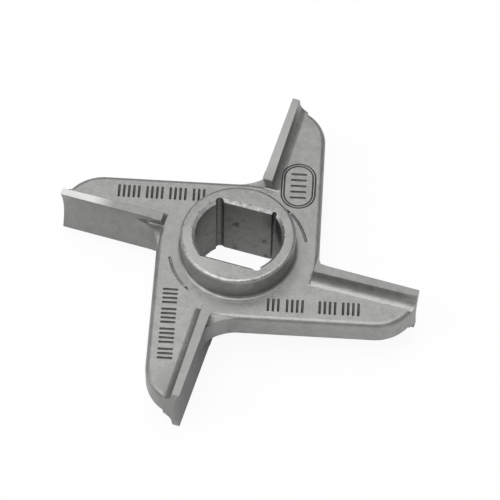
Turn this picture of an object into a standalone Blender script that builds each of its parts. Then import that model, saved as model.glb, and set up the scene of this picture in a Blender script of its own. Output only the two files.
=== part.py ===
"""Four-armed meat grinder knife, cast in one piece of stainless steel.

Units are metres, +Z is up. The origin is the centre of the drive bore at half height, so the
knife is the same above and below the XY plane and repeats every quarter turn about Z.
It turns anticlockwise seen from above, and each arm's cutting face looks that way.
Plan shapes are drawn for the arm along +Y, whose cutting face looks towards -X.
"""

import bmesh
import bpy
from math import acos, asin, atan2, cos, pi, radians, sin, sqrt, tan
from mathutils import Matrix

# Whole knife
ARM_COUNT = 4
TIP_RADIUS = 0.039
STEEL_COLOUR = (0.3, 0.3, 0.295, 1.0)
STEEL_ROUGHNESS = 0.42

# Web: the flat cross that joins the arms
WEB_THICKNESS = 0.0062
WEB_EDGE_ROUND = 0.0011
WEB_MARGIN = 0.00505          # from the hub wall to the nearest point of a trailing edge
TRAILING_TAPER = radians(13.7)
END_RADIUS = 0.0091           # the round end of an arm, from its trailing edge to its tip
ARMPIT_RADIUS = 0.0062

# Blades: the tall ribs along the arms' leading sides
BLADE_HEIGHT = 0.012
BLADE_LEAD = 0.00025          # how far the cutting edge lies behind the arm's radial line
BLADE_INNER_WIDTH = 0.0021
BLADE_TIP_WIDTH = 0.0016
HUB_TO_BLADE = 0.00485        # from the hub wall to the blade's inner end
BLADE_DRAFT = radians(5.0)
BLADE_FOOT_FILLET = 0.002
FRONT_FOOT_FILLET = 0.0005
BLADE_CORNER_RADIUS = 0.0002
BLADE_CREST_ROUND = 0.0001

# Cutting face: cast hollow, then ground hollow as far as the armpit
HOLLOW_DEPTH = 0.0012
GRINDING_STOCK = 0.0001       # what the grinding takes off the cast face

# Hub
HUB_HEIGHT = 0.0178
HUB_RADIUS = 0.01195
HUB_RIM_ROUND = 0.0007
HUB_FOOT_FILLET = 0.0015

# Drive bore: round with two flats, which face +Y and -Y, and a relief groove at each corner.
# The grooves at the flats' trailing corners are wider and lie on the round.
BORE_RADIUS = 0.009
BORE_ACROSS_FLATS = 0.014
BORE_CHAMFER = 0.0006
RELIEF_RADIUS = 0.00055
WIDE_RELIEF_RADIUS = 0.0009
WIDE_RELIEF_SHIFT = 0.0005    # along the round, away from the flat

# Fineness of the facets
ROUND_STEPS = 5
END_STEPS = 14
FILLET_STEPS = 6
CORNER_STEPS = 3
TIP_STEPS = 5
ARMPIT_STEPS = 12
HOLLOW_STEPS = 12
BORE_ARC_STEPS = 18
HUB_SIDES = 96
RELIEF_SIDES = 16

# Where two skins would coincide, one stays this far inside the other
TUCK = 0.00003
# How far a cutter runs past the steel that it cuts
OVERRUN = 0.0003

# Sizes that follow from the ones above
TRAILING_DISTANCE = HUB_RADIUS + WEB_MARGIN
BLADE_START = HUB_RADIUS + HUB_TO_BLADE
WEB_TOP = WEB_THICKNESS / 2
FOOT_LEVEL = WEB_TOP - TUCK
HOLLOW_FLOOR = BLADE_LEAD + HOLLOW_DEPTH
BODY_LINE = HOLLOW_FLOOR + 2 * TUCK
ARMPIT_TURN = pi / 2 - TRAILING_TAPER
SHARP_ANGLE = radians(30)


def clear_scene():
    """Removes whatever the file holds already."""
    for item in list(bpy.data.objects):
        bpy.data.objects.remove(item, do_unlink=True)


def steel():
    """Returns the bare cast steel of the knife."""
    material = bpy.data.materials.new("cast_steel")
    material.use_nodes = True
    surface = material.node_tree.nodes["Principled BSDF"]
    surface.inputs["Base Color"].default_value = STEEL_COLOUR
    surface.inputs["Metallic"].default_value = 1.0
    surface.inputs["Roughness"].default_value = STEEL_ROUGHNESS
    return material


def arc(centre, radius, start, end, steps):
    """Returns steps + 1 plan points of an arc from one angle to another."""
    angles = [start + (end - start) * i / steps for i in range(steps + 1)]
    return [(centre[0] + radius * cos(a), centre[1] + radius * sin(a)) for a in angles]


def turned(points, arm):
    """Returns plan points of the arm along +Y, turned to another arm."""
    angle = arm * 2 * pi / ARM_COUNT
    return [(x * cos(angle) - y * sin(angle), x * sin(angle) + y * cos(angle)) for x, y in points]


def mirrored(profile):
    """Completes a profile that runs from the top down with its image below the mid-plane."""
    return profile + [(offset, -height) for offset, height in reversed(profile)]


def finish(name, bm):
    """Turns a closed surface into a named object that is shaded smooth up to its sharp edges."""
    bmesh.ops.recalc_face_normals(bm, faces=bm.faces)
    mesh = bpy.data.meshes.new(name)
    bm.to_mesh(mesh)
    bm.free()
    mesh.shade_smooth()
    mesh.set_sharp_from_angle(angle=SHARP_ANGLE)
    item = bpy.data.objects.new(name, mesh)
    bpy.context.scene.collection.objects.link(item)
    return item


def stack(name, levels):
    """Extrudes a plan outline from level to level, each time to its shape at that height.

    A level is a height and as many points as the first has; heights fall or rise steadily.
    """
    bm = bmesh.new()
    height, points = levels[0]
    face = bm.faces.new([bm.verts.new((x, y, height)) for x, y in points])
    for height, points in levels[1:]:
        face = bmesh.ops.extrude_discrete_faces(bm, faces=[face])["faces"][0]
        for vert, (x, y) in zip(face.verts, points):
            vert.co = (x, y, height)
    bmesh.ops.holes_fill(bm, edges=bm.edges)
    return finish(name, bm)


def combine(target, tool, operation):
    """Unites a tool with the target or takes it away, and hides the tool."""
    tool.hide_render = True
    tool.display_type = "WIRE"
    step = target.modifiers.new(f"{operation.lower()}_{tool.name}", "BOOLEAN")
    step.operation = operation
    step.solver = "EXACT"
    step.object = tool


def end_centre():
    """Returns the centre of an arm's round end, which touches the trailing edge and the tip circle."""
    across = TRAILING_DISTANCE - END_RADIUS
    along = sqrt((TIP_RADIUS - END_RADIUS) ** 2 - across ** 2)
    c, s = cos(TRAILING_TAPER), sin(TRAILING_TAPER)
    return across * c - along * s, across * s + along * c


def armpit_centre():
    """Returns the centre of the inner corner between a cutting face and the next trailing edge."""
    x = BODY_LINE - ARMPIT_RADIUS
    y = (TRAILING_DISTANCE + ARMPIT_RADIUS + x * sin(TRAILING_TAPER)) / cos(TRAILING_TAPER)
    return x, y


def web_outline(inset):
    """Returns the plan of the whole web, drawn in all round by an inset."""
    centre = end_centre()
    radius = END_RADIUS - TUCK - inset
    end_angle = acos((BODY_LINE + inset - centre[0]) / radius)
    arm = arc(centre, radius, TRAILING_TAPER, end_angle, END_STEPS)
    arm += arc(armpit_centre(), ARMPIT_RADIUS + inset, 0, -ARMPIT_TURN, ARMPIT_STEPS)
    return [point for i in range(ARM_COUNT) for point in turned(arm, i)]


def make_web():
    """Makes the flat cross with its edges rounded above and below."""
    turns = [pi / 2 * i / ROUND_STEPS for i in range(ROUND_STEPS + 1)]
    edge = [(WEB_EDGE_ROUND * (1 - sin(a)), WEB_TOP - WEB_EDGE_ROUND * (1 - cos(a))) for a in turns]
    return stack("knife", [(height, web_outline(inset)) for inset, height in mirrored(edge)])


def foot_fillet(wall_height, radius, draft):
    """Returns the points of a wall's foot: the fillet from the drafted wall out to the web.

    Each point is the distance outside the wall's top and the height.
    """
    radius = min(radius, 0.8 * wall_height)
    centre_height = FOOT_LEVEL + radius
    centre_out = (wall_height - radius) * tan(draft) + radius / cos(draft)
    return arc((centre_out, centre_height), radius, pi + draft, 1.5 * pi, FILLET_STEPS)


def hollow_line(height):
    """Returns how far behind the radial line the ground face lies at a height."""
    half = BLADE_HEIGHT / 2
    radius = (half ** 2 + HOLLOW_DEPTH ** 2) / (2 * HOLLOW_DEPTH)
    return HOLLOW_FLOOR - radius + sqrt(radius ** 2 - height ** 2)


def cast_line(height):
    """Returns how far behind the radial line the cast face lies, with the fillet at its foot."""
    sunk = max(0, FOOT_LEVEL + FRONT_FOOT_FILLET - abs(height))
    fillet = FRONT_FOOT_FILLET - sqrt(FRONT_FOOT_FILLET ** 2 - min(sunk, FRONT_FOOT_FILLET) ** 2)
    return hollow_line(height) - GRINDING_STOCK - fillet


def blade_outline(front, offset):
    """Returns the plan of the blade before grinding, with its back and inner end grown outwards."""
    lean = atan2(BLADE_INNER_WIDTH - BLADE_TIP_WIDTH, TIP_RADIUS - BLADE_START)
    back = (BLADE_LEAD + BLADE_INNER_WIDTH) * cos(lean) + BLADE_START * sin(lean) + offset
    radius = BLADE_CORNER_RADIUS + offset
    corner_y = BLADE_START + BLADE_CORNER_RADIUS
    back_corner_x = (back - radius - corner_y * sin(lean)) / cos(lean)
    points = arc((front + BLADE_CORNER_RADIUS, corner_y - radius + BLADE_CORNER_RADIUS),
                 BLADE_CORNER_RADIUS, pi, 1.5 * pi, CORNER_STEPS)
    points += arc((back_corner_x, corner_y), radius, 1.5 * pi, 2 * pi + lean, CORNER_STEPS)
    centre = end_centre()
    to_back = back - centre[0] * cos(lean) - centre[1] * sin(lean)
    back_angle = lean + acos(to_back / END_RADIUS)
    front_angle = acos((front - centre[0]) / END_RADIUS)
    return points + arc(centre, END_RADIUS, back_angle, front_angle, TIP_STEPS)


def make_blade(arm):
    """Makes one blade, which stands out above and below the web, with fillets at its foot."""
    crest = BLADE_HEIGHT / 2
    profile = [(-BLADE_CREST_ROUND, crest), (0, crest - BLADE_CREST_ROUND)]
    profile += foot_fillet(crest - FOOT_LEVEL, BLADE_FOOT_FILLET, BLADE_DRAFT)
    levels = [(height, turned(blade_outline(cast_line(height), offset), arm))
              for offset, height in mirrored(profile)]
    return stack(f"blade_{arm + 1}", levels)


def grinding_outline(height):
    """Returns the plan of the space that the grinding clears in front of a blade.

    It follows the armpit's round and then the ground face, which is deepest at half height.
    """
    centre = armpit_centre()
    radius = ARMPIT_RADIUS + TUCK
    meeting_angle = -acos((hollow_line(height) - centre[0]) / radius)
    points = arc(centre, radius, -ARMPIT_TURN, meeting_angle, ARMPIT_STEPS)
    far_y = TIP_RADIUS + OVERRUN
    return points + [(points[-1][0], far_y), (points[0][0], far_y)]


def make_grinding(arm):
    """Makes the cutter that hollow-grinds one blade's cutting face and runs out in the armpit."""
    reach = BLADE_HEIGHT / 2 + OVERRUN
    heights = [reach * (1 - 2 * i / HOLLOW_STEPS) for i in range(HOLLOW_STEPS + 1)]
    levels = [(height, turned(grinding_outline(height), arm)) for height in heights]
    return stack(f"grinding_{arm + 1}", levels)


def make_hub():
    """Makes the round hub with rounded rims and a fillet where it meets the web."""
    top = HUB_HEIGHT / 2
    rim = (HUB_RADIUS - HUB_RIM_ROUND, top - HUB_RIM_ROUND)
    profile = arc(rim, HUB_RIM_ROUND, pi / 2, 0, ROUND_STEPS)
    foot = foot_fillet(top - FOOT_LEVEL, HUB_FOOT_FILLET, 0)
    profile += [(HUB_RADIUS + out, height) for out, height in foot]
    bm = bmesh.new()
    points = [bm.verts.new((radius, 0, height)) for radius, height in mirrored(profile)]
    line = [bm.edges.new(pair) for pair in zip(points, points[1:])]
    bmesh.ops.spin(bm, geom=points + line, cent=(0, 0, 0), axis=(0, 0, 1),
                   angle=2 * pi, steps=HUB_SIDES, use_merge=True)
    bmesh.ops.holes_fill(bm, edges=bm.edges)
    return finish("hub", bm)


def bore_outline(offset):
    """Returns the plan of the drive bore, grown all round by an offset."""
    radius = BORE_RADIUS + offset
    corner = asin((BORE_ACROSS_FLATS / 2 + offset) / radius)
    right = arc((0, 0), radius, -corner, corner, BORE_ARC_STEPS)
    return right + [(-x, -y) for x, y in right]


def make_bore():
    """Makes the cutter for the drive bore, which flares to a chamfer at both mouths."""
    top = HUB_HEIGHT / 2
    profile = [(BORE_CHAMFER + OVERRUN, top + OVERRUN), (0, top - BORE_CHAMFER)]
    return stack("bore", [(height, bore_outline(offset)) for offset, height in mirrored(profile)])


def make_relief(number):
    """Makes the cutter for the groove down one corner of the bore."""
    side = (-1) ** number
    end = (-1) ** (number // 2)
    corner_angle = asin(BORE_ACROSS_FLATS / 2 / BORE_RADIUS)
    radius = RELIEF_RADIUS
    if side != end:
        radius = WIDE_RELIEF_RADIUS
        corner_angle -= WIDE_RELIEF_SHIFT / BORE_RADIUS
    centre = (side * BORE_RADIUS * cos(corner_angle), end * BORE_RADIUS * sin(corner_angle), 0)
    half_step = Matrix.Rotation(pi / RELIEF_SIDES, 4, "Z")
    bm = bmesh.new()
    bmesh.ops.create_cone(bm, cap_ends=True, segments=RELIEF_SIDES, radius1=radius,
                          radius2=radius, depth=HUB_HEIGHT + 4 * OVERRUN,
                          matrix=Matrix.Translation(centre) @ half_step)
    return finish(f"relief_{number + 1}", bm)


def main():
    """Builds the knife as one object."""
    clear_scene()
    knife = make_web()
    combine(knife, make_hub(), "UNION")
    for arm in range(ARM_COUNT):
        blade = make_blade(arm)
        combine(blade, make_grinding(arm), "DIFFERENCE")
        combine(knife, blade, "UNION")
    bore = make_bore()
    for number in range(4):
        combine(bore, make_relief(number), "UNION")
    combine(knife, bore, "DIFFERENCE")
    knife.data.materials.append(steel())


main()
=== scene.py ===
"""Looks of the four-armed meat grinder knife: its cast steel skin, ground faces and cast marks.

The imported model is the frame, and every size is in its metres. The knife lies flat with +Z up
and the drive bore on the Z axis. Arms are numbered anticlockwise from the one along +Y.
"""

import logging
from dataclasses import dataclass
from enum import Enum
from math import cos, degrees, pi, radians, sin
from random import Random
from typing import Callable

import bmesh
import bpy
from mathutils import Matrix, Vector


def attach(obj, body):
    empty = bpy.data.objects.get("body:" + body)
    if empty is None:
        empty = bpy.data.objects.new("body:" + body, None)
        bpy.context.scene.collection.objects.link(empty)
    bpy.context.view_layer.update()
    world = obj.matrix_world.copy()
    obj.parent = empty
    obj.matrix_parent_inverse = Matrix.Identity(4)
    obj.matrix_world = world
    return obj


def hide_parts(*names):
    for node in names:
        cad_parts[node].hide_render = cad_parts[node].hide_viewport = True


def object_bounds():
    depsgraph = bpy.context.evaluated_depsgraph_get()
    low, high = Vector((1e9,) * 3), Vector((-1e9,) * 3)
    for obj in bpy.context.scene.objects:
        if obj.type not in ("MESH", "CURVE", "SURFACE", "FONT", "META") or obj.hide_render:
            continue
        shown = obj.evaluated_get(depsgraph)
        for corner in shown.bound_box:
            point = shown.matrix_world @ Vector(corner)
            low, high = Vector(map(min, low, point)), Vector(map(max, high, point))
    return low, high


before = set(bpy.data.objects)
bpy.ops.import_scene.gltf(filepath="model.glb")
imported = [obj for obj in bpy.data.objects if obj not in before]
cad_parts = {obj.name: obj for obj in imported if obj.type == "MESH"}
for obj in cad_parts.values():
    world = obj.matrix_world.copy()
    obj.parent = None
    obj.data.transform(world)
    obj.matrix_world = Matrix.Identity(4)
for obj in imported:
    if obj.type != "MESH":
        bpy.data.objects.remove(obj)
CAD_LOW, CAD_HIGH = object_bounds()

log = logging.getLogger("knife")

NODE = "knife"
BODY = "root"

MM = 0.001
# Slack for points that are picked by their place.
HAIR = 0.01 * MM
# Points nearer to each other than this are one.
DOUBLED = 0.001 * MM


# The corners of a plan, in millimetres.
Plan = tuple[tuple[float, float], ...]
# Groups of strokes in a row: where each starts along the row, and how many strokes it has.
Groups = tuple[tuple[float, int], ...]


class Arm(Enum):
    """The four arms, by the quarter turns that bring the arm along +Y to each."""

    BACK = 0
    LEFT = 1
    FRONT = 2
    RIGHT = 3

    @property
    def angle(self) -> float:
        """Angle of the arm about the bore, from the arm along +Y."""
        return self.value * pi / 2


class Zone(Enum):
    """Parts of the knife's skin that are finished in their own way, by material slot."""

    CAST = 0
    CREST = 1
    CUTTING_FACE = 2
    HUB_FACE = 3
    BORE = 4
    RIM = 5
    MARK = 6
    ARROW = 7
    SHOULDER = 8


def only(item: bpy.types.Object) -> None:
    """Selects one object alone and makes it the active one.

    Args:
        item: the object.
    """
    bpy.ops.object.select_all(action="DESELECT")
    item.select_set(True)
    bpy.context.view_layer.objects.active = item


def pick(test: Callable[[Vector], bool]) -> None:
    """Selects the points that pass a test, in edit mode.

    Args:
        test: says whether the point at a place is selected.
    """
    bm = bmesh.from_edit_mesh(bpy.context.object.data)
    for vert in bm.verts:
        vert.select = test(vert.co)
    bm.select_mode = {"VERT"}
    bm.select_flush_mode()
    bmesh.update_edit_mesh(bpy.context.object.data)


def stretch(length: float) -> None:
    """Draws the active object apart along Y by a length, half each way.

    Args:
        length: how much longer the object becomes.
    """
    bpy.ops.object.mode_set(mode="EDIT")
    for side in (1, -1):
        pick(lambda co, side=side: co.y * side > 0)
        bpy.ops.transform.translate(value=(0, side * length / 2, 0))
    bpy.ops.object.mode_set(mode="OBJECT")


def place(item: bpy.types.Object, matrix: Matrix) -> None:
    """Puts an object's place into its mesh, so that the object itself stays at the origin.

    Args:
        item: the object, at the origin.
        matrix: where its mesh goes.
    """
    only(item)
    item.matrix_world = matrix
    bpy.ops.object.transform_apply(location=True, rotation=True, scale=True)


def join(items: list[bpy.types.Object], name: str) -> bpy.types.Object:
    """Joins objects into one.

    Args:
        items: the objects; the first one takes the others in.
        name: the joined object's name.

    Returns:
        The joined object.
    """
    only(items[0])
    for item in items:
        item.select_set(True)
    bpy.ops.object.join()
    items[0].name = name
    return items[0]


def face_out(item: bpy.types.Object) -> None:
    """Merges an object's doubled points and turns its faces outwards.

    Args:
        item: the object.
    """
    only(item)
    bpy.ops.object.mode_set(mode="EDIT")
    bpy.ops.mesh.select_all(action="SELECT")
    bpy.ops.mesh.remove_doubles(threshold=DOUBLED)
    bpy.ops.mesh.normals_make_consistent(inside=False)
    bpy.ops.object.mode_set(mode="OBJECT")


def slab(points: list[tuple[float, float]], low: float, high: float) -> bpy.types.Object:
    """Makes a flat plate from its plan.

    Args:
        points: the corners of the plan.
        low: the height of the underside.
        high: the height of the upper side.

    Returns:
        The plate.
    """
    bpy.ops.object.select_all(action="DESELECT")
    bpy.ops.mesh.primitive_circle_add(vertices=len(points), fill_type="NGON")
    item = bpy.context.object
    for vert, (x, y) in zip(item.data.vertices, points):
        vert.co = (x, y, low)
    bpy.ops.object.mode_set(mode="EDIT")
    bpy.ops.mesh.select_all(action="SELECT")
    bpy.ops.mesh.extrude_region_move(TRANSFORM_OT_translate={"value": (0, 0, high - low)})
    bpy.ops.object.mode_set(mode="OBJECT")
    face_out(item)
    return item


def in_metres(points: Plan) -> list[tuple[float, float]]:
    """Returns the corners of a plan, given in millimetres, in the frame's metres."""
    return [(x * MM, y * MM) for x, y in points]


@dataclass
class CastMarks:
    """Cutters for the plain marks sunk in the web's upper face.

    Rows of strokes run along the arms' trailing edges. Their plan axes are turned from each
    arm's own by the trailing edge's taper: out towards that edge, and along it from the hub.
    """

    web_top: float = 3.1 * MM
    taper: float = radians(13.7)
    row_middle: float = 13.2 * MM
    stroke_length: float = 3.2 * MM
    stroke_radius: float = 0.27 * MM
    stroke_lift: float = 0.04 * MM
    stroke_pitch: float = 1.05 * MM
    frame_middle: tuple[float, float] = (11.8 * MM, 16.9 * MM)
    frame_widths: tuple[float, float] = (7.1 * MM, 6.0 * MM)
    frame_length: float = 11.3 * MM
    frame_radius: float = 0.19 * MM
    frame_strokes: int = 5
    frame_stroke_length: float = 3.4 * MM
    frame_stroke_pitch: float = 1.5 * MM
    arrow_radius: float = 14.3 * MM
    shaft_radius: float = 0.32 * MM
    shaft_lift: float = 0.06 * MM
    arrow_start: float = radians(24.9)
    arrow_end: float = radians(56.0)
    head_length: float = 2.6 * MM
    head_width: float = 1.1 * MM
    head_depth: float = 0.35 * MM
    left_groups: Groups = ((8.0 * MM, 3), (11.9 * MM, 4), (16.8 * MM, 4), (21.7 * MM, 5))
    right_groups: Groups = ((7.0 * MM, 3), (10.9 * MM, 4), (17.6 * MM, 4), (22.4 * MM, 4))
    front_groups: Groups = ((10.8 * MM, 4), (15.6 * MM, 4), (20.4 * MM, 4), (25.2 * MM, 3))
    stroke_sides: int = 16
    frame_steps: int = 64
    frame_sides: int = 10
    arrow_steps: int = 180
    shaft_sides: int = 16

    def axes(self, arm: Arm) -> Matrix:
        """Returns the turn from the row axes of an arm to the frame."""
        return Matrix.Rotation(arm.angle + self.taper, 4, "Z")

    def stroke(self, arm: Arm, along: float, length: float, middle: float) -> bpy.types.Object:
        """Makes the cutter for one round-bottomed stroke across a row.

        Args:
            arm: the arm that carries the row.
            along: the stroke's place along the row.
            length: the stroke's whole length.
            middle: how far out the stroke's middle lies.

        Returns:
            The cutter.
        """
        bpy.ops.mesh.primitive_uv_sphere_add(
            segments=self.stroke_sides, ring_count=self.stroke_sides // 2, radius=self.stroke_radius)
        item = bpy.context.object
        place(item, Matrix.Rotation(pi / self.stroke_sides, 4, "Z"))
        stretch(length - 2 * self.stroke_radius)
        spot = Matrix.Translation((middle, along, self.web_top + self.stroke_lift))
        place(item, self.axes(arm) @ spot @ Matrix.Rotation(pi / 2, 4, "Z"))
        return item

    def row(self, arm: Arm, groups: Groups) -> list[bpy.types.Object]:
        """Makes the cutters for groups of strokes along an arm.

        Args:
            arm: the arm that carries them.
            groups: each group's start along the row and its number of strokes.

        Returns:
            The cutters.
        """
        return [
            self.stroke(arm, start + i * self.stroke_pitch, self.stroke_length, self.row_middle)
            for start, count in groups
            for i in range(count)
        ]

    def frame_line(self, width: float) -> bpy.types.Object:
        """Makes the cutter for one line of the round-ended frame on the back arm.

        Args:
            width: how wide the line's ring is across the arm.

        Returns:
            The cutter, a ring drawn out along the row.
        """
        bpy.ops.mesh.primitive_torus_add(
            major_radius=width / 2, minor_radius=self.frame_radius,
            major_segments=self.frame_steps, minor_segments=self.frame_sides)
        item = bpy.context.object
        place(item, Matrix.Rotation(pi / self.frame_steps, 4, "Z"))
        stretch(self.frame_length - self.frame_widths[0])
        out, along = self.frame_middle
        spot = Matrix.Translation((out, along, self.web_top + self.stroke_lift))
        place(item, self.axes(Arm.BACK) @ spot)
        return item

    def arrow_line(self, turn: float) -> bpy.types.Object:
        """Makes the cutter for the curved shaft of a turning arrow.

        Args:
            turn: the arrow's turn about the bore.

        Returns:
            The cutter, a piece of a ring round the bore.
        """
        bpy.ops.mesh.primitive_torus_add(
            major_radius=self.arrow_radius, minor_radius=self.shaft_radius,
            major_segments=self.arrow_steps, minor_segments=self.shaft_sides)
        item = bpy.context.object
        bpy.ops.object.mode_set(mode="EDIT")
        for angle, side in ((self.arrow_start, 1), (self.arrow_end, -1)):
            bpy.ops.mesh.select_all(action="SELECT")
            normal = (-side * sin(angle), side * cos(angle), 0)
            bpy.ops.mesh.bisect(plane_co=(0, 0, 0), plane_no=normal, use_fill=True, clear_inner=True)
        bpy.ops.object.mode_set(mode="OBJECT")
        lift = Matrix.Translation((0, 0, self.web_top + self.shaft_lift))
        place(item, Matrix.Rotation(turn, 4, "Z") @ lift)
        return item

    def arrow_head(self, turn: float) -> bpy.types.Object:
        """Makes the cutter for the narrow head of a turning arrow, a pocket with sloping sides.

        Args:
            turn: the arrow's turn about the bore.

        Returns:
            The cutter.
        """
        bpy.ops.mesh.primitive_cone_add(vertices=3, radius1=0, radius2=1.0, depth=1.0)
        item = bpy.context.object
        triangle_width, triangle_length = 1.73, 1.5
        size = Matrix.Diagonal((
            self.head_width / triangle_width, self.head_length / triangle_length,
            self.head_depth * 2, 1))
        tip = Matrix.Translation((0, self.head_length / 3, 0))
        spot = Matrix.Translation((self.arrow_radius, 0, self.web_top))
        place(item, Matrix.Rotation(turn + self.arrow_end, 4, "Z") @ spot @ tip @ size)
        return item

    def lines(self) -> bpy.types.Object:
        """Makes one cutter of all the marks' lines.

        Returns:
            The cutter.
        """
        items = self.row(Arm.LEFT, self.left_groups)
        items += self.row(Arm.RIGHT, self.right_groups)
        items += self.row(Arm.FRONT, self.front_groups)
        out, middle = self.frame_middle
        start = middle - (self.frame_strokes - 1) / 2 * self.frame_stroke_pitch
        items += [
            self.stroke(Arm.BACK, start + i * self.frame_stroke_pitch, self.frame_stroke_length, out)
            for i in range(self.frame_strokes)
        ]
        items += [self.frame_line(width) for width in self.frame_widths]
        return join(items, "mark_lines")

    def shafts(self) -> bpy.types.Object:
        """Makes one cutter of both arrow shafts."""
        return join([self.arrow_line(turn) for turn in (0, pi)], "arrow_shafts")

    def heads(self) -> bpy.types.Object:
        """Makes one cutter of both arrow heads."""
        return join([self.arrow_head(turn) for turn in (0, pi)], "arrow_heads")


@dataclass
class BladeEnds:
    """Cutters that square off the blades' inner ends, which have nearly no fillet at their foot.

    Places are for the arm along +Y.
    """

    end_wall: float = 16.78 * MM
    reach_in: float = 2.7 * MM
    front: float = -1.5 * MM
    back: float = 6.0 * MM
    floor: float = 3.12 * MM
    top: float = 7.0 * MM
    foot_round: float = 0.45 * MM
    round_steps: int = 4

    def cutter(self, arm: Arm, side: int) -> bpy.types.Object:
        """Makes the cutter for one end of one blade.

        Args:
            arm: the blade's arm.
            side: 1 above the web and -1 below it.

        Returns:
            The cutter, a block whose lower edge along the end wall is rounded.
        """
        start = self.end_wall - self.reach_in
        plan = [(self.front, start), (self.back, start),
                (self.back, self.end_wall), (self.front, self.end_wall)]
        item = slab(plan, self.floor, self.top)
        bpy.ops.object.mode_set(mode="EDIT")
        pick(lambda co: co.y > start + HAIR and co.z < self.floor + HAIR)
        bpy.ops.mesh.bevel(offset=self.foot_round, segments=self.round_steps)
        bpy.ops.object.mode_set(mode="OBJECT")
        place(item, Matrix.Rotation(arm.angle, 4, "Z") @ Matrix.Diagonal((1, 1, side, 1)))
        face_out(item)
        return item

    def build(self) -> bpy.types.Object:
        """Makes one cutter of all the ends."""
        return join([self.cutter(arm, side) for arm in Arm for side in (1, -1)], "blade_ends")


@dataclass
class HubFoot:
    """Cutters that tighten the fillet at the hub's foot, above and below the web."""

    wall: float = 11.93 * MM
    outer: float = 13.7 * MM
    floor: float = 3.105 * MM
    top: float = 8.0 * MM
    fillet: float = 0.75 * MM
    fillet_steps: int = 6
    turn_steps: int = 96

    def ring(self, side: int) -> bpy.types.Object:
        """Makes the ring-shaped cutter for one foot.

        Args:
            side: 1 above the web and -1 below it.

        Returns:
            The cutter, whose lower inner edge is rounded.
        """
        bpy.ops.object.select_all(action="DESELECT")
        bpy.ops.mesh.primitive_plane_add(size=1)
        item = bpy.context.object
        middle = Vector(((self.wall + self.outer) / 2, 0, (self.floor + self.top) / 2))
        size = Matrix.Diagonal((self.outer - self.wall, 1, self.top - self.floor, 1))
        place(item, Matrix.Translation(middle) @ size @ Matrix.Rotation(pi / 2, 4, "X"))
        bpy.ops.object.mode_set(mode="EDIT")
        pick(lambda co: co.x < self.wall + HAIR and co.z < self.floor + HAIR)
        bpy.ops.mesh.bevel(offset=self.fillet, affect="VERTICES", segments=self.fillet_steps)
        bpy.ops.mesh.select_all(action="SELECT")
        bpy.ops.mesh.delete(type="ONLY_FACE")
        bpy.ops.mesh.select_all(action="SELECT")
        bpy.ops.mesh.spin(steps=self.turn_steps, angle=2 * pi, center=(0, 0, 0), axis=(0, 0, 1))
        bpy.ops.object.mode_set(mode="OBJECT")
        place(item, Matrix.Diagonal((1, 1, side, 1)))
        face_out(item)
        return item

    def build(self) -> bpy.types.Object:
        """Makes one cutter of both rings."""
        return join([self.ring(side) for side in (1, -1)], "hub_foot")


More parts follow.
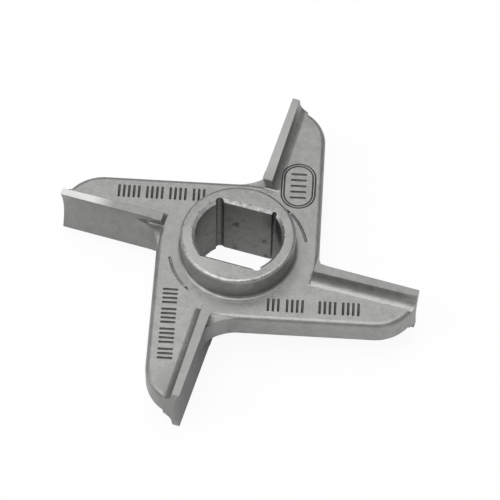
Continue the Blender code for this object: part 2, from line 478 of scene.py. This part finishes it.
@dataclass
class Gussets:
    """The flat gussets that fill the armpits and lie a little lower than the web.

    Plans are in millimetres, for the arm along +Y, whose cutting face looks towards -X.
    """

    level: float = 2.8 * MM
    edge_round: float = 0.25 * MM
    edge_steps: int = 3
    edge: Plan = (
        (1.6, 24.2), (1.25, 23.0), (1.0, 21.9), (0.7, 20.8), (0.5, 20.2), (0.0, 19.25), (-0.7, 18.4),
        (-1.5, 17.7), (-2.7, 16.9), (-3.8, 16.35), (-5.0, 15.9), (-6.5, 15.45),
    )
    root: Plan = ((-6.5, 14.5), (1.8, 14.5), (1.8, 24.2))
    wall_share: float = 0.5
    step_plan: Plan = ((0.5, 16.8), (0.5, 22.0), (-6.5, 22.0), (-6.5, 15.8))
    step_middle: float = 19.0 * MM
    step_top: float = 3.7 * MM
    step_slope: float = radians(28)
    step_round: float = 0.15 * MM
    step_round_steps: int = 2

    def plate(self, arm: Arm) -> bpy.types.Object:
        """Makes the plate of one armpit, with its free edges rounded.

        Args:
            arm: the arm whose cutting face the gusset runs into.

        Returns:
            The plate.
        """
        item = slab(in_metres(self.edge + self.root), -self.level, self.level)
        bpy.ops.object.mode_set(mode="EDIT")
        bm = bmesh.from_edit_mesh(item.data)
        spots = [Vector(spot) for spot in in_metres(self.edge)]
        for edge in bm.edges:
            ends = edge.verts
            level = abs(ends[0].co.z - ends[1].co.z) < HAIR
            on_rim = all(any((v.co.xy - spot).length < HAIR for spot in spots) for v in ends)
            edge.select = level and on_rim
        bmesh.update_edit_mesh(item.data)
        bpy.ops.mesh.bevel(offset=self.edge_round, segments=self.edge_steps)
        bpy.ops.object.mode_set(mode="OBJECT")
        place(item, Matrix.Rotation(arm.angle, 4, "Z"))
        return item

    def step(self, arm: Arm, side: int) -> bpy.types.Object:
        """Makes the cutter that lowers the web to the gusset's level.

        Args:
            arm: the arm whose cutting face the gusset runs into.
            side: 1 above the web and -1 below it.

        Returns:
            The cutter.
        """
        item = slab(in_metres(self.step_plan), self.level, self.step_top)
        bpy.ops.object.mode_set(mode="EDIT")
        pick(lambda co: co.y < self.step_middle and co.z > self.level + HAIR)
        run = (self.step_top - self.level) / sin(self.step_slope) * cos(self.step_slope)
        bpy.ops.transform.translate(value=(0, -run, 0))
        pick(lambda co: co.y < self.step_middle and co.z < self.level + HAIR)
        bpy.ops.mesh.bevel(offset=self.step_round, segments=self.step_round_steps)
        bpy.ops.object.mode_set(mode="OBJECT")
        place(item, Matrix.Rotation(arm.angle, 4, "Z") @ Matrix.Diagonal((1, 1, side, 1)))
        face_out(item)
        return item

    def plates(self, skin: bpy.types.Material, ground: bpy.types.Material) -> bpy.types.Object:
        """Makes all four plates as one object.

        Args:
            skin: the finish of the level faces.
            ground: the finish of the side walls, which the grinding reaches.

        Returns:
            The plates.
        """
        item = join([self.plate(arm) for arm in Arm], "gusset_plates")
        item.data.materials.append(skin)
        item.data.materials.append(ground)
        for face in item.data.polygons:
            face.material_index = int(abs(face.normal.z) < self.wall_share)
        return item

    def steps(self) -> bpy.types.Object:
        """Makes one cutter of all the steps."""
        return join([self.step(arm, side) for arm in Arm for side in (1, -1)], "gusset_steps")


@dataclass
class CastFlaws:
    """Cutters for the small pits and nicks that handling and casting left on the knife."""

    seed: int = 11
    hub_top: float = 8.9 * MM
    inner_rim: float = 9.5 * MM
    outer_rim: float = 11.75 * MM
    flat_edge: float = 7.55 * MM
    inner_nicks: int = 16
    outer_nicks: int = 14
    nick_scatter: float = 0.15 * MM
    nick_drop: float = 0.12 * MM
    nick_radii: tuple[float, float] = (0.25 * MM, 0.5 * MM)
    nick_sinks: tuple[float, float] = (0.03 * MM, 0.09 * MM)
    nick_breadths: tuple[float, float] = (0.6, 1.2)
    pit_count: int = 12
    pit_reaches: tuple[float, float] = (9.9 * MM, 11.1 * MM)
    pit_radii: tuple[float, float] = (0.16 * MM, 0.34 * MM)
    pit_sinks: tuple[float, float] = (0.03 * MM, 0.07 * MM)

    def dent(self, spot: Vector, radius: float, sink: float, squash: float) -> bpy.types.Object:
        """Makes the cutter for one shallow dent.

        Args:
            spot: the place on the skin, above which the cutter's middle lies.
            radius: the cutter's size.
            sink: how deep it goes.
            squash: the cutter's breadth along Y as a share of that along X.

        Returns:
            The cutter.
        """
        bpy.ops.mesh.primitive_ico_sphere_add(subdivisions=2, radius=radius)
        item = bpy.context.object
        lift = Matrix.Translation(spot + Vector((0, 0, radius - sink)))
        place(item, lift @ Matrix.Diagonal((1, squash, 1, 1)))
        return item

    def nicks(self, draw: Random, count: int, reach: float) -> list[bpy.types.Object]:
        """Makes nicks scattered round a rim of the hub's upper face.

        Args:
            draw: the source of the random places.
            count: how many there are.
            reach: the rim's radius.

        Returns:
            The cutters.
        """
        items = []
        for _ in range(count):
            angle = draw.uniform(0, 2 * pi)
            out = reach + draw.uniform(-self.nick_scatter, self.nick_scatter)
            spot = Vector((out * cos(angle), out * sin(angle), self.hub_top - self.nick_drop))
            if abs(spot.y) > self.flat_edge and reach == self.inner_rim:
                spot.y = self.flat_edge * (1 if spot.y > 0 else -1)
            items.append(self.dent(
                spot, draw.uniform(*self.nick_radii), draw.uniform(*self.nick_sinks),
                draw.uniform(*self.nick_breadths)))
        return items

    def pits(self, draw: Random, count: int) -> list[bpy.types.Object]:
        """Makes small pits in the hub's upper face.

        Args:
            draw: the source of the random places.
            count: how many there are.

        Returns:
            The cutters.
        """
        items = []
        for _ in range(count):
            angle = draw.uniform(0, 2 * pi)
            out = draw.uniform(*self.pit_reaches)
            spot = Vector((out * cos(angle), out * sin(angle), self.hub_top))
            items.append(self.dent(
                spot, draw.uniform(*self.pit_radii), draw.uniform(*self.pit_sinks), 1.0))
        return items

    def build(self) -> bpy.types.Object:
        """Makes one cutter of all the flaws.

        Returns:
            The cutter.
        """
        draw = Random(self.seed)
        items = self.nicks(draw, self.inner_nicks, self.inner_rim)
        items += self.nicks(draw, self.outer_nicks, self.outer_rim)
        items += self.pits(draw, self.pit_count)
        return join(items, "flaws")


@dataclass
class Effects:
    """Node groups for what the knife's finishes share."""

    noise_roughness: float = 0.6
    grain_detail: float = 3.0
    patch_detail: float = 4.0
    patch_limits: tuple[float, float] = (0.35, 0.65)
    grain_share: float = 0.4
    stain_detail: float = 3.0
    stain_limits: tuple[float, float] = (0.58, 0.70)
    line_squeeze: float = 0.03
    line_detail: float = 2.0
    spot_core: float = 0.5

    def __post_init__(self) -> None:
        """Builds the groups."""
        self.grain = self.make_grain()
        self.lines = self.make_lines()
        self.spot = self.make_painted_light_spot()

    @staticmethod
    def group(
            name: str, places: tuple[str, ...], values: dict[str, float],
            results: tuple[str, ...]) -> bpy.types.ShaderNodeTree:
        """Makes an empty node group with named sockets.

        Args:
            name: the group's name.
            places: its inputs that are places.
            values: its number inputs and their usual values.
            results: its number outputs.

        Returns:
            The group, with an input node and an output node.
        """
        tree = bpy.data.node_groups.new(name, "ShaderNodeTree")
        for key in places:
            tree.interface.new_socket(key, in_out="INPUT", socket_type="NodeSocketVector")
        for key, value in values.items():
            socket = tree.interface.new_socket(key, in_out="INPUT", socket_type="NodeSocketFloat")
            socket.default_value = value
        for key in results:
            tree.interface.new_socket(key, in_out="OUTPUT", socket_type="NodeSocketFloat")
        tree.nodes.new("NodeGroupInput").name = "In"
        tree.nodes.new("NodeGroupOutput").name = "Out"
        return tree

    def make_grain(self) -> bpy.types.ShaderNodeTree:
        """Makes the cast and tumbled grain.

        Returns:
            The group, which gives a height, a mask of brighter patches and a mask of stains.
        """
        tree = self.group(
            "cast_grain", ("Vector",),
            {"Grain size": 0.3 * MM, "Patch size": 2 * MM, "Stain size": 3 * MM},
            ("Height", "Patches", "Stains"))
        nodes, links = tree.nodes, tree.links
        given, out = nodes["In"], nodes["Out"]

        def noise(size_name: str, detail: float) -> bpy.types.ShaderNode:
            """Makes a noise texture whose scale follows one of the group's sizes.

            Args:
                size_name: the size's input.
                detail: how many finer layers the noise has.

            Returns:
                The texture.
            """
            scale = nodes.new("ShaderNodeMath")
            scale.operation = "DIVIDE"
            scale.inputs[0].default_value = 1.0
            links.new(given.outputs[size_name], scale.inputs[1])
            texture = nodes.new("ShaderNodeTexNoise")
            texture.inputs["Detail"].default_value = detail
            texture.inputs["Roughness"].default_value = self.noise_roughness
            links.new(given.outputs["Vector"], texture.inputs["Vector"])
            links.new(scale.outputs[0], texture.inputs["Scale"])
            return texture

        fine = noise("Grain size", self.grain_detail)
        links.new(fine.outputs["Fac"], out.inputs["Height"])
        patches = nodes.new("ShaderNodeMapRange")
        patches.inputs["From Min"].default_value = self.patch_limits[0]
        patches.inputs["From Max"].default_value = self.patch_limits[1]
        blend = nodes.new("ShaderNodeMix")
        blend.inputs["Factor"].default_value = self.grain_share
        links.new(noise("Patch size", self.patch_detail).outputs["Fac"], blend.inputs["A"])
        links.new(fine.outputs["Fac"], blend.inputs["B"])
        links.new(blend.outputs["Result"], patches.inputs["Value"])
        links.new(patches.outputs["Result"], out.inputs["Patches"])
        stains = nodes.new("ShaderNodeMapRange")
        stains.inputs["From Min"].default_value = self.stain_limits[0]
        stains.inputs["From Max"].default_value = self.stain_limits[1]
        links.new(noise("Stain size", self.stain_detail).outputs["Fac"], stains.inputs["Value"])
        links.new(stains.outputs["Result"], out.inputs["Stains"])
        return tree

    def make_lines(self) -> bpy.types.ShaderNodeTree:
        """Makes fine straight grinding lines along Y of the given vector.

        Returns:
            The group, which gives a height.
        """
        tree = self.group("grinding_lines", ("Vector",), {"Line pitch": 0.15 * MM}, ("Height",))
        nodes, links = tree.nodes, tree.links
        given, out = nodes["In"], nodes["Out"]
        draw = nodes.new("ShaderNodeMapping")
        draw.inputs["Scale"].default_value = (1.0, self.line_squeeze, 1.0)
        scale = nodes.new("ShaderNodeMath")
        scale.operation = "DIVIDE"
        scale.inputs[0].default_value = 1.0
        texture = nodes.new("ShaderNodeTexNoise")
        texture.inputs["Detail"].default_value = self.line_detail
        links.new(given.outputs["Vector"], draw.inputs["Vector"])
        links.new(given.outputs["Line pitch"], scale.inputs[1])
        links.new(draw.outputs["Vector"], texture.inputs["Vector"])
        links.new(scale.outputs[0], texture.inputs["Scale"])
        links.new(texture.outputs["Fac"], out.inputs["Height"])
        return tree

    def make_painted_light_spot(self) -> bpy.types.ShaderNodeTree:
        """Makes a soft round spot of painted light and shade that is full in its core and fades out
        at its reach.

        Returns:
            The group, which gives a mask.
        """
        tree = self.group(
            "painted_light_spot", ("Vector", "Centre"), {"Reach": 5 * MM, "Strength": 1.0}, ("Mask",))
        nodes, links = tree.nodes, tree.links
        given, out = nodes["In"], nodes["Out"]
        gap = nodes.new("ShaderNodeVectorMath")
        gap.operation = "DISTANCE"
        core = nodes.new("ShaderNodeMath")
        core.operation = "MULTIPLY"
        core.inputs[1].default_value = self.spot_core
        fade = nodes.new("ShaderNodeMapRange")
        links.new(given.outputs["Vector"], gap.inputs[0])
        links.new(given.outputs["Centre"], gap.inputs[1])
        links.new(given.outputs["Reach"], core.inputs[0])
        links.new(gap.outputs["Value"], fade.inputs["Value"])
        links.new(given.outputs["Reach"], fade.inputs["From Min"])
        links.new(core.outputs[0], fade.inputs["From Max"])
        links.new(given.outputs["Strength"], fade.inputs["To Max"])
        links.new(fade.outputs["Result"], out.inputs["Mask"])
        return tree


@dataclass(frozen=True)
class PaintedLight:
    """A soft round spot where painted light makes a finish lighter, and painted shade makes it
    darker, than elsewhere.
    """

    centre: tuple[float, float, float]
    reach: float
    grey: float
    strength: float = 1.0
    blue_share: float = 0.985

    @property
    def colour(self) -> tuple[float, float, float, float]:
        """The spot's colour, a grey with a little less blue, as the steel is."""
        return (self.grey, self.grey, self.grey * self.blue_share, 1.0)


@dataclass(frozen=True)
class SteelFinish:
    """One finish of the knife's steel."""

    name: str
    dark: tuple[float, float, float]
    light: tuple[float, float, float]
    roughness: tuple[float, float]
    metallic: float = 1.0
    grain_size: float = 0.32 * MM
    patch_size: float = 1.8 * MM
    stain_size: float = 3.5 * MM
    stain_depth: float = 0.12
    grain_height: float = 0.02 * MM
    line_height: float = 0.0
    line_turn: tuple[float, float, float] = (0.0, 0.0, 0.0)
    oxide: tuple[float, float, float] = (0.02, 0.019, 0.018)
    # Spots of painted light and painted shade laid over the finish's colour.
    painted_lights: tuple[PaintedLight, ...] = ()

    def material(self, effects: Effects) -> bpy.types.Material:
        """Builds the finish as a material.

        Args:
            effects: the node groups that the finishes share.

        Returns:
            The material.
        """
        material = bpy.data.materials.new(self.name)
        material.use_nodes = True
        nodes, links = material.node_tree.nodes, material.node_tree.links
        surface = nodes["Principled BSDF"]
        surface.inputs["Metallic"].default_value = self.metallic
        place_node = nodes.new("ShaderNodeTexCoord")
        grain = nodes.new("ShaderNodeGroup")
        grain.node_tree = effects.grain
        grain.inputs["Grain size"].default_value = self.grain_size
        grain.inputs["Patch size"].default_value = self.patch_size
        grain.inputs["Stain size"].default_value = self.stain_size
        links.new(place_node.outputs["Object"], grain.inputs["Vector"])

        tint = nodes.new("ShaderNodeMix")
        tint.data_type = "RGBA"
        tint.inputs["A"].default_value = (*self.dark, 1.0)
        tint.inputs["B"].default_value = (*self.light, 1.0)
        links.new(grain.outputs["Patches"], tint.inputs["Factor"])
        depth = nodes.new("ShaderNodeMath")
        depth.operation = "MULTIPLY"
        depth.inputs[1].default_value = self.stain_depth
        stain = nodes.new("ShaderNodeMix")
        stain.data_type = "RGBA"
        stain.inputs["B"].default_value = (*self.oxide, 1.0)
        links.new(grain.outputs["Stains"], depth.inputs[0])
        links.new(depth.outputs[0], stain.inputs["Factor"])
        links.new(tint.outputs["Result"], stain.inputs["A"])
        colour = stain.outputs["Result"]
        # Each spot mixes painted light or painted shade into the colour, as its grey is lighter or
        # darker.
        for spot in self.painted_lights:
            mask = nodes.new("ShaderNodeGroup")
            mask.node_tree = effects.spot
            mask.inputs["Centre"].default_value = spot.centre
            mask.inputs["Reach"].default_value = spot.reach
            mask.inputs["Strength"].default_value = spot.strength
            change = nodes.new("ShaderNodeMix")
            change.data_type = "RGBA"
            change.inputs["B"].default_value = spot.colour
            links.new(place_node.outputs["Object"], mask.inputs["Vector"])
            links.new(mask.outputs["Mask"], change.inputs["Factor"])
            links.new(colour, change.inputs["A"])
            colour = change.outputs["Result"]
        links.new(colour, surface.inputs["Base Color"])

        gloss = nodes.new("ShaderNodeMapRange")
        gloss.inputs["To Min"].default_value = self.roughness[0]
        gloss.inputs["To Max"].default_value = self.roughness[1]
        links.new(grain.outputs["Patches"], gloss.inputs["Value"])
        links.new(gloss.outputs["Result"], surface.inputs["Roughness"])

        bump = nodes.new("ShaderNodeBump")
        bump.inputs["Distance"].default_value = self.grain_height
        links.new(grain.outputs["Height"], bump.inputs["Height"])
        last = bump
        if self.line_height:
            turn = nodes.new("ShaderNodeMapping")
            turn.inputs["Rotation"].default_value = self.line_turn
            lines = nodes.new("ShaderNodeGroup")
            lines.node_tree = effects.lines
            last = nodes.new("ShaderNodeBump")
            last.inputs["Distance"].default_value = self.line_height
            links.new(place_node.outputs["Object"], turn.inputs["Vector"])
            links.new(turn.outputs["Vector"], lines.inputs["Vector"])
            links.new(lines.outputs["Height"], last.inputs["Height"])
            links.new(bump.outputs["Normal"], last.inputs["Normal"])
        links.new(last.outputs["Normal"], surface.inputs["Normal"])
        return material


@dataclass
class KnifeCasting:
    """The dressed knife: the model's own form with marks cut in it and a finish for each zone."""

    crest_level: float = 5.95 * MM
    hub_level: float = 8.85 * MM
    bore_reach: float = 9.9 * MM
    chamfer_level: float = 8.35 * MM
    rim_reach: float = 10.5 * MM
    arm_reach: float = 17.5 * MM
    hollow_behind: float = 1.5 * MM
    flat_share: float = 0.99
    slope_share: float = 0.2
    facing_share: float = 0.6
    flat_angle: float = radians(0.05)
    smooth_angle: float = radians(35)
    flats_weight: int = 100

    def copy_node(self) -> bpy.types.Object:
        """Copies the model's node and merges the copy's loose triangles.

        Returns:
            The copy.
        """
        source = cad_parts[NODE]
        item = bpy.data.objects.new("cast_knife", source.data.copy())
        bpy.context.scene.collection.objects.link(item)
        only(item)
        item.data.materials.clear()
        bpy.ops.object.mode_set(mode="EDIT")
        bpy.ops.mesh.select_all(action="SELECT")
        bpy.ops.mesh.remove_doubles(threshold=DOUBLED)
        bpy.ops.mesh.customdata_custom_splitnormals_clear()
        bpy.ops.mesh.dissolve_limited(angle_limit=self.flat_angle)
        bpy.ops.object.mode_set(mode="OBJECT")
        return item

    def shape(
            self, item: bpy.types.Object, tool: bpy.types.Object, finish: bpy.types.Material | None,
            operation: str = "DIFFERENCE", overlapping: bool = False) -> None:
        """Takes a tool away from the knife, or unites it with the knife, and removes the tool.

        Args:
            item: the knife.
            tool: the cutter or added piece, whose mesh closes and faces outwards.
            finish: the finish of the faces that it leaves, where the tool has none of its own.
            operation: DIFFERENCE or UNION.
            overlapping: whether the tool's pieces run into each other.
        """
        if finish is not None:
            tool.data.materials.append(finish)
        only(item)
        step = item.modifiers.new("shape", "BOOLEAN")
        step.operation = operation
        step.solver = "EXACT"
        step.use_self = overlapping
        step.material_mode = "TRANSFER"
        step.object = tool
        bpy.ops.object.modifier_apply(modifier=step.name)
        bpy.data.objects.remove(tool, do_unlink=True)

    def zone(self, centre: Vector, normal: Vector) -> Zone:
        """Says which zone of the skin a face belongs to.

        Args:
            centre: the middle of the face.
            normal: its outward direction.

        Returns:
            The zone.
        """
        flat = abs(normal.z) > self.flat_share
        if flat and abs(centre.z) > self.hub_level:
            return Zone.HUB_FACE
        if flat and abs(centre.z) > self.crest_level:
            return Zone.CREST
        reach = centre.xy.length
        if abs(centre.z) > self.chamfer_level and abs(normal.z) > self.slope_share:
            return Zone.RIM if reach < self.rim_reach else Zone.SHOULDER
        if reach < self.bore_reach and not flat:
            return Zone.BORE
        for arm in Arm:
            turn = Matrix.Rotation(-arm.angle, 3, "Z")
            own, looks = turn @ centre, turn @ normal
            on_blade = own.y > self.arm_reach and abs(own.x) < self.hollow_behind
            if on_blade and looks.x < -self.facing_share:
                return Zone.CUTTING_FACE
        return Zone.CAST

    def dress(self, item: bpy.types.Object, finishes: dict[Zone, bpy.types.Material]) -> None:
        """Gives each face its zone's finish.

        Args:
            item: the knife.
            finishes: the material of each zone.
        """
        for zone in Zone:
            item.data.materials.append(finishes[zone])
        for face in item.data.polygons:
            face.material_index = self.zone(face.center, face.normal).value

    def smooth(self, item: bpy.types.Object) -> None:
        """Smooths the shading between sharp edges.

        Args:
            item: the knife.
        """
        only(item)
        bpy.ops.object.shade_smooth_by_angle(angle=self.smooth_angle)
        step = item.modifiers.new("even_flats", "WEIGHTED_NORMAL")
        step.keep_sharp = True
        step.weight = self.flats_weight
        bpy.ops.object.modifier_apply(modifier=step.name)

    def build(self, finishes: dict[Zone, bpy.types.Material]) -> bpy.types.Object:
        """Builds the dressed knife.

        Args:
            finishes: the material of each zone.

        Returns:
            The knife, which stands for the model's node.
        """
        item = self.copy_node()
        self.dress(item, finishes)
        gussets = Gussets()
        plates = gussets.plates(finishes[Zone.CAST], finishes[Zone.CUTTING_FACE])
        self.shape(item, plates, None, operation="UNION")
        self.shape(item, gussets.steps(), finishes[Zone.CAST])
        self.shape(item, HubFoot().build(), finishes[Zone.CAST])
        self.shape(item, BladeEnds().build(), finishes[Zone.CAST])
        marks = CastMarks()
        self.shape(item, marks.lines(), finishes[Zone.MARK])
        self.shape(item, marks.shafts(), finishes[Zone.ARROW])
        self.shape(item, marks.heads(), finishes[Zone.MARK])
        self.shape(item, CastFlaws().build(), finishes[Zone.HUB_FACE], overlapping=True)
        self.smooth(item)
        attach(item, BODY)
        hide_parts(NODE)
        return item


@dataclass(frozen=True)
class Softbox:
    """A round soft lamp that faces the knife."""

    name: str
    azimuth: float
    elevation: float
    power: float
    width: float = 0.5
    distance: float = 1.0

    def hang(self) -> None:
        """Hangs the lamp; azimuth is from +X towards +Y, in degrees, and power is in watts."""
        data = bpy.data.lights.new(self.name, "AREA")
        data.shape = "DISK"
        data.energy = self.power
        data.size = self.width
        item = bpy.data.objects.new(self.name, data)
        bpy.context.scene.collection.objects.link(item)
        a, e = radians(self.azimuth), radians(self.elevation)
        out = Vector((cos(e) * cos(a), cos(e) * sin(a), sin(e)))
        item.location = out * self.distance
        item.rotation_euler = out.to_track_quat("Z", "Y").to_euler()


@dataclass
class Studio:
    """A pale floor under soft lamps and a dim dome."""

    floor_size: float = 4.0
    floor_colour: tuple[float, float, float] = (0.9, 0.9, 0.9)
    floor_glow: float = 0.93
    glow_in_steel: float = 0.08
    dome: float = 0.355
    lamps: tuple[Softbox, ...] = (
        Softbox("overhead", azimuth=0, elevation=90, power=2.5),
        Softbox("back_left", azimuth=120, elevation=64, power=1.4),
        Softbox("back_right", azimuth=60, elevation=64, power=0.58),
        Softbox("front_left", azimuth=240, elevation=64, power=2.55),
        Softbox("left_low", azimuth=210, elevation=38, power=2.75),
    )

    def floor(self, level: float) -> bpy.types.Object:
        """Makes the floor under the knife.

        Args:
            level: the floor's height.

        Returns:
            The floor, which isn't part of the object.
        """
        bpy.ops.object.select_all(action="DESELECT")
        bpy.ops.mesh.primitive_plane_add(size=self.floor_size, location=(0, 0, level))
        item = bpy.context.object
        item.name = "floor"
        material = bpy.data.materials.new("pale_floor")
        material.use_nodes = True
        surface = material.node_tree.nodes["Principled BSDF"]
        surface.inputs["Base Color"].default_value = (*self.floor_colour, 1.0)
        surface.inputs["Roughness"].default_value = 1.0
        surface.inputs["Specular IOR Level"].default_value = 0.0
        nodes, links = material.node_tree.nodes, material.node_tree.links
        white = nodes.new("ShaderNodeEmission")
        ray = nodes.new("ShaderNodeLightPath")
        direct = nodes.new("ShaderNodeMath")
        direct.operation = "MULTIPLY"
        direct.inputs[1].default_value = self.floor_glow
        share = nodes.new("ShaderNodeMath")
        share.operation = "MULTIPLY_ADD"
        share.inputs[1].default_value = self.glow_in_steel
        mix = nodes.new("ShaderNodeMixShader")
        links.new(ray.outputs["Is Camera Ray"], direct.inputs[0])
        links.new(ray.outputs["Is Glossy Ray"], share.inputs[0])
        links.new(direct.outputs[0], share.inputs[2])
        links.new(share.outputs[0], mix.inputs["Fac"])
        links.new(surface.outputs["BSDF"], mix.inputs[1])
        links.new(white.outputs["Emission"], mix.inputs[2])
        links.new(mix.outputs["Shader"], nodes["Material Output"].inputs["Surface"])
        item.data.materials.append(material)
        return item

    def surround(self) -> None:
        """Sets the dim dome that fills the shadows."""
        world = bpy.data.worlds.new("studio")
        bpy.context.scene.world = world
        world.use_nodes = True
        back = world.node_tree.nodes["Background"]
        back.inputs["Color"].default_value = (1.0, 1.0, 1.0, 1.0)
        back.inputs["Strength"].default_value = self.dome

    def build(self) -> None:
        """Builds the floor, the lamps and the dome."""
        self.floor(CAD_LOW.z)
        for lamp in self.lamps:
            lamp.hang()
        self.surround()
        bpy.context.scene.view_settings.view_transform = "Standard"


@dataclass
class PhotoCamera:
    """The camera, at the photograph's distance and viewing angle."""

    azimuth: float = radians(15.926)
    elevation: float = radians(56.300)
    roll: float = radians(1.391)
    distance: float = 544.61 * MM
    across: float = -2.546 * MM
    upwards: float = -1.577 * MM
    focal_ratio: float = 5.21513
    sensor: float = 36.0
    nearest: float = 10 * MM

    def build(self) -> bpy.types.Object:
        """Makes the camera the scene's own.

        Returns:
            The camera.
        """
        a, e, r = self.azimuth, self.elevation, self.roll
        back = Vector((sin(a) * cos(e), -cos(a) * cos(e), sin(e)))
        level = Vector((cos(a), sin(a), 0))
        upright = back.cross(level)
        right = cos(r) * level + sin(r) * upright
        up = cos(r) * upright - sin(r) * level
        data = bpy.data.cameras.new("photo_camera")
        data.sensor_width = self.sensor
        data.lens = self.focal_ratio * self.sensor
        data.clip_start = self.nearest
        item = bpy.data.objects.new("photo_camera", data)
        bpy.context.scene.collection.objects.link(item)
        turn = Matrix((right, up, back)).transposed()
        spot = back * self.distance - right * self.across - up * self.upwards
        item.matrix_world = Matrix.Translation(spot) @ turn.to_4x4()
        bpy.context.scene.camera = item
        return item


CAST_SKIN = SteelFinish(
    "cast_steel",
    dark=(0.275, 0.275, 0.270), light=(0.375, 0.375, 0.368), roughness=(0.46, 0.52),
    grain_height=0.06 * MM,
    # Painted shade: the front arm's tip is darker.
    painted_lights=(PaintedLight((0, -37 * MM, 1 * MM), reach=9 * MM, grey=0.22, strength=0.7),))
GROUND_CREST = SteelFinish(
    "ground_crest",
    dark=(0.235, 0.235, 0.231), light=(0.290, 0.290, 0.286), roughness=(0.40, 0.46),
    grain_height=0.015 * MM, line_height=0.010 * MM,
    painted_lights=(
        # Painted highlight on the left arm's crest towards its tip.
        PaintedLight((-36.5 * MM, 1 * MM, 6 * MM), reach=9 * MM, grey=0.58),
        # Painted light: the back arm's crest is lighter.
        PaintedLight((1 * MM, 29 * MM, 6 * MM), reach=15 * MM, grey=0.36),
    ))
GROUND_HOLLOW = SteelFinish(
    "ground_hollow",
    dark=(0.230, 0.230, 0.226), light=(0.290, 0.290, 0.285), roughness=(0.42, 0.48),
    grain_height=0.02 * MM, line_height=0.012 * MM, line_turn=(pi / 2, 0, 0),
    painted_lights=(
        # Painted shade: the front arm's cutting face is darker.
        PaintedLight((0, -26 * MM, 0), reach=16 * MM, grey=0.19, strength=0.8),
        # Painted light at the front arm's armpit, where the gusset meets the cutting face.
        PaintedLight((2.7 * MM, -16.9 * MM, 0), reach=5.5 * MM, grey=0.33),
    ))
FACED_HUB = SteelFinish(
    "faced_hub",
    dark=(0.235, 0.235, 0.230), light=(0.360, 0.360, 0.353), roughness=(0.40, 0.52),
    grain_height=0.04 * MM, patch_size=2.6 * MM, stain_depth=0.3,
    # Painted reflection: the hub's face is lighter towards the front left.
    painted_lights=(PaintedLight((-8 * MM, -8 * MM, 8.9 * MM), reach=8 * MM, grey=0.36, strength=0.8),))
BORE_WALL = SteelFinish(
    "bore_wall",
    dark=(0.24, 0.24, 0.235), light=(0.37, 0.37, 0.362), roughness=(0.45, 0.55),
    grain_height=0.05 * MM, stain_size=2.6 * MM, stain_depth=0.6,
    painted_lights=(
        # Painted shade: the bore's right side is darker.
        PaintedLight((8.5 * MM, 4 * MM, 6 * MM), reach=6.5 * MM, grey=0.06),
        # Painted light: the bore's left side is lighter.
        PaintedLight((-9 * MM, 0, 4 * MM), reach=7 * MM, grey=0.36, strength=0.6),
    ))
WORN_RIM_AND_SHEEN = SteelFinish(
    "worn_rim_and_painted_sheen",
    # Worn bright metal with painted highlights: the light colour is nearly white.
    dark=(0.46, 0.46, 0.453), light=(0.92, 0.92, 0.906), roughness=(0.36, 0.46),
    grain_height=0.06 * MM, grain_size=0.6 * MM, patch_size=1.5 * MM,
    # Painted shade: the inner rim is darker on the right, next to the groove.
    painted_lights=(PaintedLight((8.8 * MM, 3 * MM, 8.9 * MM), reach=6 * MM, grey=0.28),))
WORN_SHOULDER_AND_SHEEN = SteelFinish(
    "worn_shoulder_and_painted_sheen",
    # Worn metal with a painted highlight: the hub's outer rim is lighter than the cast skin.
    dark=(0.26, 0.26, 0.255), light=(0.50, 0.50, 0.492), roughness=(0.44, 0.52),
    grain_height=0.06 * MM, grain_size=0.5 * MM, patch_size=1.0 * MM,
    # Painted shade: the hub's outer rim is darker towards the back.
    painted_lights=(PaintedLight((2 * MM, 13 * MM, 8.9 * MM), reach=20 * MM, grey=0.26),))
# Dirt in the sunk marks, with painted shade: their floors are nearly black.
MARK_DIRT_AND_SHADE = SteelFinish(
    "mark_dirt_and_painted_shade", dark=(0.07, 0.07, 0.068), light=(0.12, 0.12, 0.117), roughness=(0.5, 0.6))
# Painted shade in the arrows' shafts: their floors are darker than the skin.
ARROW_PAINTED_SHADE = SteelFinish(
    "arrow_painted_shade", dark=(0.15, 0.15, 0.147), light=(0.30, 0.30, 0.294), roughness=(0.5, 0.6))

ZONE_FINISHES = {
    Zone.CAST: CAST_SKIN,
    Zone.CREST: GROUND_CREST,
    Zone.CUTTING_FACE: GROUND_HOLLOW,
    Zone.HUB_FACE: FACED_HUB,
    Zone.BORE: BORE_WALL,
    Zone.RIM: WORN_RIM_AND_SHEEN,
    Zone.MARK: MARK_DIRT_AND_SHADE,
    Zone.ARROW: ARROW_PAINTED_SHADE,
    Zone.SHOULDER: WORN_SHOULDER_AND_SHEEN,
}


def main() -> None:
    """Builds the camera, the knife and the studio, and reports each."""
    logging.basicConfig(level=logging.INFO, format="%(name)s: %(message)s")
    camera = PhotoCamera()
    camera.build()
    log.info("camera %.0f degrees above the floor", degrees(camera.elevation))
    effects = Effects()
    finishes = {zone: finish.material(effects) for zone, finish in ZONE_FINISHES.items()}
    log.info("%d finishes are mixed", len(finishes))
    knife = KnifeCasting().build(finishes)
    log.info("%s has %d faces", knife.name, len(knife.data.polygons))
    Studio().build()
    log.info("studio is lit")


if __name__ == "__main__":
    main()
